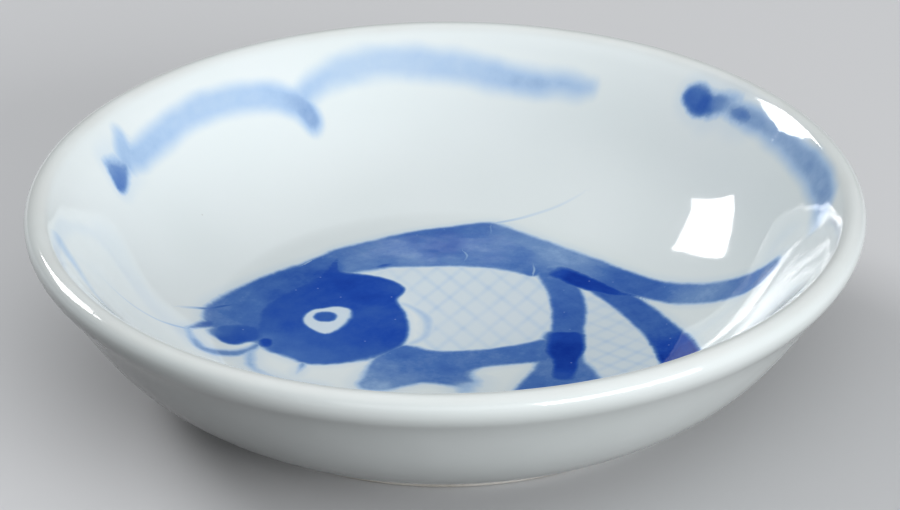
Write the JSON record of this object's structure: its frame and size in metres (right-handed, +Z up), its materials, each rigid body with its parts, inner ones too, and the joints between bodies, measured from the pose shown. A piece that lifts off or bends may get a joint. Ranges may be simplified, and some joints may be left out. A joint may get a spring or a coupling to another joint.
{
  "type": "butter pat dish",
  "caption": "Small round glazed porcelain dish with a rolled lip, curved wall and low foot ring, for a pat of butter or a condiment.",
  "frame": {"origin": "centre of the plane that the foot ring stands on", "axes": "+Z up along the axis that the dish is turned about, +X to the right in the picture's view, +Y away from the viewer"},
  "size_m": [0.092, 0.092, 0.0207],
  "materials": {
    "porcelain_body": "bare fired porcelain, matt, fine grain",
    "glaze_coat": "glossy clear glaze, faintly blue-green white, over cobalt blue brushwork in the well",
    "base_glaze": "glossy clear glaze, undecorated"
  },
  "bodies": {
    "root": {"porcelain_body": "porcelain_body", "glaze_coat": "glaze_coat", "base_glaze": "base_glaze"}
  },
  "joints": []
}
